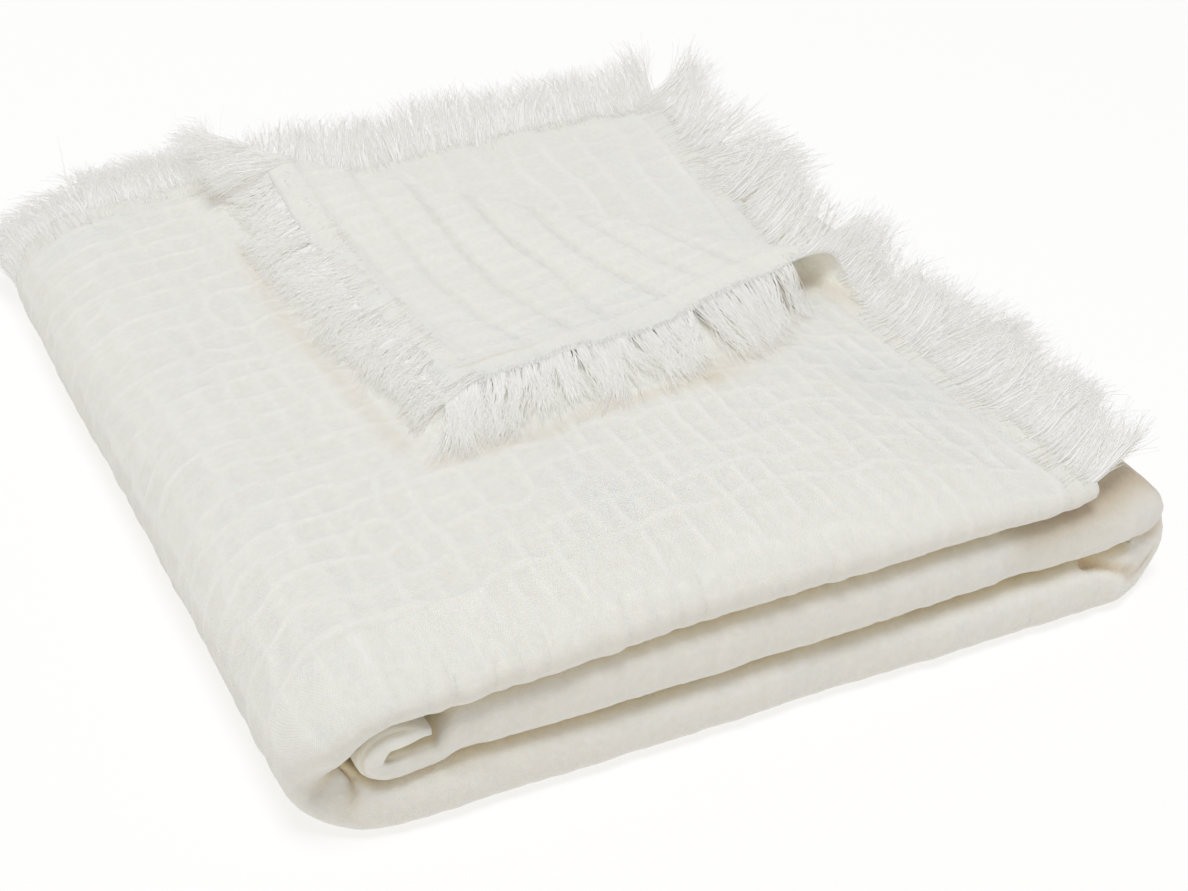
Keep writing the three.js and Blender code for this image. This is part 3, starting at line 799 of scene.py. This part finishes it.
def edgeStations(edge, u, level):
    # root, way out, way towards larger u and upper side
    place, out, along, normal = edgeFrame(edge, u, np.zeros_like(u))
    lowest, highest = (0, fringe["levelSlope"]) if level else (-fringe["slope"], fringe["slope"])
    out[:, 2] = np.clip(out[:, 2], lowest, highest)
    out = unit(out)
    side = unit(np.cross(out, normal))
    side = side * np.sign((side * along).sum(axis=1, keepdims=True))
    return place, out, side, normal * np.where(normal[:, 2:] < 0, -1, 1)


def restHeight(x, y):
    # the upper face of the top layer, which the turned corner's fringe lies on
    return pressed(x, y, topLow + 2 * topLoftAt(x)) + half


def drawLocks(draw, row, u):
    # yarns gather in locks, each with its own lean, length, height, curl and root
    begin, end = row["span"]
    locks = max(2, int((end - begin) / row["every"]))
    at = mix(begin, end, (np.arange(locks) + draw.uniform(*fringe["lockPlace"], locks)) / locks)
    near = u + draw.normal(0, row["overlap"] * row["every"], len(u))
    own = np.abs(near[:, None] - at[None, :]).argmin(axis=1)
    values = dict(
        at=at,
        lean=np.clip(draw.normal(0, row["sway"], locks), -fringe["lockLean"], fringe["lockLean"]),
        length=draw.normal(1, fringe["lockSpread"], locks),
        lift=draw.uniform(-0.5, 0.5, locks),
        curl=draw.normal(0, 1, locks),
        root=draw.uniform(*fringe["lockRoot"], locks),
    )
    return {name: value[own] for name, value in values.items()}


def spreads(draw, count):
    return np.clip(draw.normal(0, 1, count), -2, 2)


def makeFringe(row, seed, material):
    f = fringe
    begin, end = row["span"]
    draw = np.random.default_rng(seed)
    count = int((end - begin) * row["yarns"])
    share = np.sort(draw.uniform(0, 1, count))
    u = mix(begin, end, share)
    place, out, side, upward = edgeStations(row["edge"], u, row["rests"])
    if row["aim"]:
        out = unit(mix(out, np.array(row["aim"]), f["combed"]))
    lock = drawLocks(draw, row, u)
    kind = draw.uniform(0, 1, count)
    fly = kind < f["flyShare"]
    core = kind > 1 - f["coreShare"]
    calm = np.where(core, f["coreCalm"], 1)

    most = f["longest"] * f["length"] * row["length"]
    length = most / f["longest"] * lock["length"] * draw.normal(1, f["lengthSpread"], count)
    length = np.clip(length, f["shortest"] * most, most)
    loss = row["short"][0] * ease(f["endRun"], 1, 1 - share) + row["short"][1] * ease(f["endRun"], 1, share)
    length = length * np.where(core, f["coreLength"], 1) * (1 - loss)
    lean = np.interp(share, np.linspace(0, 1, len(row["lean"])), row["lean"]) + lock["lean"]
    lean = lean + spreads(draw, count) * np.where(fly, f["flyLean"], f["leanSpread"])
    bend = f["bend"] * spreads(draw, count) * calm
    v = np.linspace(0, 1, row["stations"])[None, :]  # from root to tip
    clump = row["clump"] * np.where(fly, f["flyClump"], 1)
    phase = draw.uniform(0, 2 * pi, (count, 2, 1))
    rate = draw.uniform(*f["frizzRates"], (count, 2, 1))
    size = row["frizz"] * draw.uniform(f["frizzLeast"], 1, (count, 1)) * calm[:, None]
    size = size * ease(0, f["frizzRun"], v)
    sideways = ((lock["at"] - u) * clump)[:, None] * ease(*f["clumpRun"], v)
    sideways += (length * np.sin(np.arctan(lean)))[:, None] * v ** f["leanPower"]
    sideways += (0.5 * length * bend + row["curl"] * lock["curl"])[:, None] * v ** f["bendPower"]
    sideways += size * np.sin(rate[:, 0] * v + phase[:, 0])

    # the higher a yarn starts, the further inside the edge it comes out of the cloth
    depth = draw.uniform(0, 1, (count, 1)) * np.where(core, f["coreDepth"], 1)[:, None]
    start = -mix(f["rootLeast"], np.maximum(row["root"] * lock["root"], f["rootLeast"])[:, None], depth)
    forward = mix(start, (length * np.cos(np.arctan(lean)))[:, None], v)
    ownLift = draw.uniform(-0.5, 0.5, count)
    tipUp = row["rise"] + row["fluff"] * mix(ownLift, lock["lift"], f["lockLift"])
    height = mix(-f["rootUnder"], halfThickness(-forward) + f["rootOver"], depth)
    height += tipUp[:, None] * v ** f["risePower"]
    height += f["frizzUp"] * size * np.sin(rate[:, 1] * v + phase[:, 1])
    if row["rests"]:
        # a lifted edge lets its yarns hang before they lie on the layer under them
        lifted = place[:, 2] - restHeight(place[:, 0], place[:, 1])
        forward = forward * (1 - f["hang"] * ease(*f["hangFrom"], lifted))[:, None]
    inner = edgeFrame(row["edge"], u, -start[:, 0])[0] - place
    paths = place[:, None] + np.clip(forward / start, 0, 1)[..., None] * inner[:, None]
    paths += np.maximum(forward, 0)[..., None] * out[:, None] + sideways[..., None] * side[:, None]
    paths += height[..., None] * upward[:, None]
    if row["rests"]:
        floor = restHeight(paths[..., 0], paths[..., 1]) + f["restGap"]
        arch = draw.uniform(f["restLow"], 1, (count, 1)) * row["fluff"] * np.sin(pi * v) ** f["archPower"]
        lying = (arch + f["archHeight"] * np.abs(height)) * calm[:, None]
        above = mix(paths[..., 2] - floor, lying, ease(0, f["restRun"], v))
        paths[..., 2] = floor + np.maximum(above, f["restLeast"])
    else:
        paths[..., 2] = half + (paths[..., 2] - half) * (1 - row["sink"] * v ** 2)
    paths[..., 2] = np.clip(paths[..., 2], f["lowest"], f["highest"])

    radius = np.where(fly, f["flyRadius"], np.where(core, f["coreRadius"], f["yarnRadius"]))
    taper = 1 - f["thinTip"] * v ** np.where(core, f["coreThins"], f["thinPower"])[:, None]
    taper *= mix(f["thinRoot"], 1, ease(0, f["thinRun"], v))
    radii = (radius * draw.uniform(*f["radiusSpread"], count))[:, None] * taper
    tints = np.clip(f["tint"] + f["tintSpread"] * draw.normal(0, 1, count), 0, 1)
    piece = tubes("yarns_" + row["name"], paths, radii, f["sides"], material)
    addValues(piece.data, "tint", np.repeat(tints, row["stations"] * f["sides"]))
    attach(piece, "root")
    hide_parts("fringe_" + row["name"])
    return piece


# stitches that hold the hem
stitch = dict(every=3.3, length=2.4, radius=0.18, proud=-0.08, dip=0.42, dipPower=4, stations=5, sides=4)


def makeStitches(material):
    inset, far, length = hem["width"], sheetWidth - hem["width"], stitch["length"]
    lines = [[(inset, at), (inset, at + length)] for at in np.arange(inset, far, stitch["every"])]
    for at in np.arange(inset, runs["leftBend"][1], stitch["every"]):
        lines += [[(at, edge), (at + length, edge)] for edge in (inset, far)]
    lines = np.array(lines)
    share = np.linspace(0, 1, stitch["stations"])[None, :, None]
    flat = mix(lines[:, :1], lines[:, 1:], share)
    s, t = flat[..., 0].ravel(), flat[..., 1].ravel()
    shape = (*flat.shape[:2], 3)
    arch = stitch["proud"] - stitch["dip"] * (2 * share - 1) ** stitch["dipPower"]
    normal = sheetFrame(s, t)[3].reshape(shape)
    faces = [surface(s, t, side)[0].reshape(shape) + side * normal * arch for side in (1, -1)]
    paths = np.concatenate(faces)
    radii = np.full(paths.shape[:2], stitch["radius"])
    return tubes("hem_stitches", paths, radii, stitch["sides"], material)


# materials
muslinLook = dict(
    # pinched is lighter along the woven lines, partly as denser cloth and partly as painted highlight on
    # their ridges; hollow is darker where the noise is low and as painted shade in the turned corner's
    # troughs
    pinched=(0.875, 0.85, 0.78), colour=(0.81, 0.782, 0.71), hollow=(0.74, 0.70, 0.615),
    level=0.03, pinchShare=0.3, broadShare=0.3, threadShare=0.07, slubShare=0.7,
    threadEvery=0.75, weftRate=0.92, slubScale=420.0, broadScale=26.0,
    weaveBump=0.3, weaveDepth=0.4, slubBump=0.34, slubDepth=0.8,
    roughness=0.92, sheen=0.25,
    through=0.55, throughRadius=(1.0, 0.85, 0.7), throughDepth=4,  # light scattered inside
)
yarnLook = dict(
    pale=(0.61, 0.603, 0.58), deep=(0.565, 0.555, 0.525),
    spotScale=900.0, spotBump=0.2, spotDepth=0.3, roughness=0.95, sheen=0.4,
    # painted light: the yarns glow though they are no lamp, standing in for light that scatters on from
    # yarn to yarn
    paintedGlow=(1.0, 0.98, 0.935), paintedGlowStrength=0.34,  # light that scatters on from yarn to yarn
)
fabricLook = dict(sheenRoughness=0.5, specular=0.2)


def startMaterial(name):
    # an empty material, and a function that adds a node and sets or links its inputs
    material = bpy.data.materials.new(name)
    material.use_nodes = True
    nodes, links = material.node_tree.nodes, material.node_tree.links
    nodes.clear()

    def add(kind, **inputs):
        node = nodes.new(kind)
        for key, value in inputs.items():
            numbered = key[0] == "i" and key[1:].isdigit()  # i0, i1, i2 for inputs that share a name
            socket = node.inputs[int(key[1:]) if numbered else key.replace("_", " ")]
            if isinstance(value, bpy.types.NodeSocket):
                links.new(value, socket)
            else:
                socket.default_value = value
        return node

    return material, add


def mathNode(add, operation, a, b=0.0, c=0.0):
    node = add("ShaderNodeMath", i0=a, i1=b, i2=c)
    node.operation = operation
    return node.outputs[0]


def attributeNode(add, name):
    node = add("ShaderNodeAttribute")
    node.attribute_name = name
    return node


def rampNode(add, level, low, high):
    node = add("ShaderNodeValToRGB", Fac=level)
    node.color_ramp.elements[0].color = (*low, 1)
    node.color_ramp.elements[1].color = (*high, 1)
    return node


def fabricShader(add, look, colour, normal, **more):
    shader = add("ShaderNodeBsdfPrincipled", Base_Color=colour, Normal=normal, Roughness=look["roughness"],
                 Sheen_Weight=look["sheen"], Sheen_Roughness=fabricLook["sheenRoughness"],
                 Specular_IOR_Level=fabricLook["specular"], **more)
    add("ShaderNodeOutputMaterial", Surface=shader.outputs["BSDF"])


def makeMuslin():
    material, add = startMaterial("muslin")
    look = muslinLook
    flat = add("ShaderNodeUVMap")
    flat.uv_map = "flat"
    apart = add("ShaderNodeSeparateXYZ", Vector=flat.outputs["UV"])
    rate = 2 * pi / look["threadEvery"] / mm
    warp = mathNode(add, "SINE", mathNode(add, "MULTIPLY", apart.outputs["X"], rate))
    weft = mathNode(add, "SINE", mathNode(add, "MULTIPLY", apart.outputs["Y"], rate * look["weftRate"]))
    threads = mathNode(add, "MULTIPLY", warp, weft)
    slubs = add("ShaderNodeTexNoise", Vector=flat.outputs["UV"], Scale=look["slubScale"], Detail=3.0)
    broad = add("ShaderNodeTexNoise", Vector=flat.outputs["UV"], Scale=look["broadScale"], Detail=4.0)
    weave = add("ShaderNodeBump", Height=threads, Strength=look["weaveBump"],
                Distance=look["weaveDepth"] * mm)
    bumps = add("ShaderNodeBump", Height=slubs.outputs["Fac"], Strength=look["slubBump"],
                Distance=look["slubDepth"] * mm, Normal=weave.outputs["Normal"])
    pinch, paintedTone = attributeNode(add, "pinch"), attributeNode(add, "paintedTone")
    level = look["level"]
    # the pinch lightens the colour along the woven lines, partly denser cloth and partly painted highlight,
    # and darkens it as painted shade in the turned corner's troughs
    parts = dict(pinch=pinch.outputs["Fac"], broad=broad.outputs["Fac"], thread=threads,
                 slub=slubs.outputs["Fac"])
    for name, value in parts.items():
        level = mathNode(add, "MULTIPLY_ADD", value, look[name + "Share"], level)
    ramp = rampNode(add, level, look["hollow"], look["pinched"])
    ramp.color_ramp.elements.new(0.5).color = (*look["colour"], 1)
    # the painted light and shade multiply the cloth's colour
    colour = add("ShaderNodeVectorMath", i0=ramp.outputs["Color"], i1=paintedTone.outputs["Vector"],
                 i2=ramp.outputs["Color"])
    colour.operation = "MULTIPLY_ADD"
    fabricShader(add, look, colour.outputs["Vector"], bumps.outputs["Normal"],
                 Subsurface_Weight=look["through"], Subsurface_Radius=look["throughRadius"],
                 Subsurface_Scale=look["throughDepth"] * mm)
    return material


def makeYarn():
    material, add = startMaterial("fringe_yarn")
    look = yarnLook
    ramp = rampNode(add, attributeNode(add, "tint").outputs["Fac"], look["deep"], look["pale"])
    spots = add("ShaderNodeTexNoise", Scale=look["spotScale"], Detail=2.0)
    bump = add("ShaderNodeBump", Height=spots.outputs["Fac"], Strength=look["spotBump"],
               Distance=look["spotDepth"] * mm)
    fabricShader(add, look, ramp.outputs["Color"], bump.outputs["Normal"],
                 Emission_Color=(*look["paintedGlow"], 1), Emission_Strength=look["paintedGlowStrength"])
    return material


muslin = makeMuslin()
yarn = makeYarn()

clothPiece = makeCloth(muslin)
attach(clothPiece, "root")
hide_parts("cloth")
print("cloth made,", len(clothPiece.data.polygons), "faces")

fringePieces = [makeFringe(row, fringe["seed"] + i, yarn) for i, row in enumerate(fringeTable)]
print("fringe made,", sum(len(piece.data.polygons) for piece in fringePieces), "faces")

stitchPiece = makeStitches(muslin)
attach(stitchPiece, "root")
print("stitches made")


# studio: a glowing pale floor, soft light all round and a cooler lamp above
studio = dict(
    floorSize=14, floorLevel=-0.00005, floorColour=(0.25, 0.25, 0.25), floorRoughness=0.9,
    floorGlow=0.73, glowColour=(1, 0.99, 0.973),
    world=0.53, worldColour=(1.02, 1.0, 0.99),
    lampPlace=(-0.6, -0.5, 3.5), lampSize=1.4, lampWatts=61.7, lampColour=(0.964, 1.025, 1.1),
)


def makeFloor():
    size = studio["floorSize"] / 2
    mesh = bpy.data.meshes.new("floor")
    corners = ((-size, -size), (size, -size), (size, size), (-size, size))
    mesh.from_pydata([(x, y, studio["floorLevel"]) for x, y in corners], [], [(0, 1, 2, 3)])
    material, add = startMaterial("pale_floor")
    shader = add("ShaderNodeBsdfPrincipled", Base_Color=(*studio["floorColour"], 1),
                 Roughness=studio["floorRoughness"], Emission_Color=(*studio["glowColour"], 1),
                 Emission_Strength=studio["floorGlow"])
    add("ShaderNodeOutputMaterial", Surface=shader.outputs["BSDF"])
    mesh.materials.append(material)
    linked(mesh)


def makeLight():
    world = bpy.data.worlds.new("studio")
    world.use_nodes = True
    sky = world.node_tree.nodes["Background"]
    sky.inputs["Color"].default_value = (*studio["worldColour"], 1)
    sky.inputs["Strength"].default_value = studio["world"]
    bpy.context.scene.world = world
    lamp = bpy.data.lights.new("above", "AREA")
    lamp.shape = "DISK"
    lamp.size, lamp.energy, lamp.color = studio["lampSize"], studio["lampWatts"], studio["lampColour"]
    holder = linked(lamp)
    holder.location = studio["lampPlace"]
    holder.rotation_euler = (-Vector(studio["lampPlace"])).to_track_quat("-Z", "Y").to_euler()


# camera at the photograph's angle, for an image of 1188 by 891
view = dict(
    place=(-0.3116, -0.5298, 0.4225), target=(-0.0197, -0.0737, 0.03),
    roll=6.62, focalPixels=1822, imageWidth=1188, sensorWidth=36,
    nearest=0.01, furthest=50,
)


def makeCamera():
    camera = bpy.data.cameras.new("camera")
    camera.sensor_width = view["sensorWidth"]
    camera.lens = view["focalPixels"] / view["imageWidth"] * camera.sensor_width
    camera.clip_start = view["nearest"]
    camera.clip_end = view["furthest"]
    holder = linked(camera)
    look = Vector(view["target"]) - Vector(view["place"])
    roll = Matrix.Rotation(radians(view["roll"]), 4, "Z")
    turn = look.to_track_quat("-Z", "Y").to_matrix().to_4x4() @ roll
    holder.matrix_world = Matrix.Translation(Vector(view["place"])) @ turn
    bpy.context.scene.camera = holder


makeFloor()
makeLight()
makeCamera()
bpy.context.scene.view_settings.view_transform = "Standard"
print("studio and camera made")
